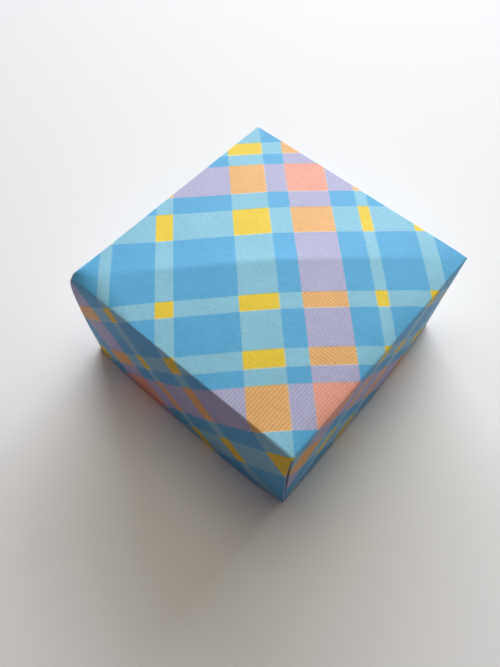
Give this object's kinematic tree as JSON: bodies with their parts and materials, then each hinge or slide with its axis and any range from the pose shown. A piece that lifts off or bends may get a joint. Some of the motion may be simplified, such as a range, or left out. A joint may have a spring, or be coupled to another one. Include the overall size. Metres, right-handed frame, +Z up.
{
  "type": "origami box with lid",
  "caption": "Square folded paper box with a lift-off lid over a folded base, standing closed; holds small things such as sweets or trinkets.",
  "frame": {"origin": "middle of the underside of the base, on the surface that the box stands on", "axes": "+Z up, the way the lid lifts; X and Y along the box's sides, with +Y square to the lid walls that carry the folded ears"},
  "size_m": [0.0532, 0.0554, 0.028],
  "materials": {
    "plaid_paper": "matte",
    "plain_paper": "matte"
  },
  "bodies": {
    "base": {"base": "plain_paper"},
    "lid": {"lid": "plaid_paper"}
  },
  "joints": [
    {"name": "lid_lift", "type": "slide", "parent": "base", "child": "lid", "axis": [0, 0, 1], "range_m": [0, 0.035]}
  ]
}
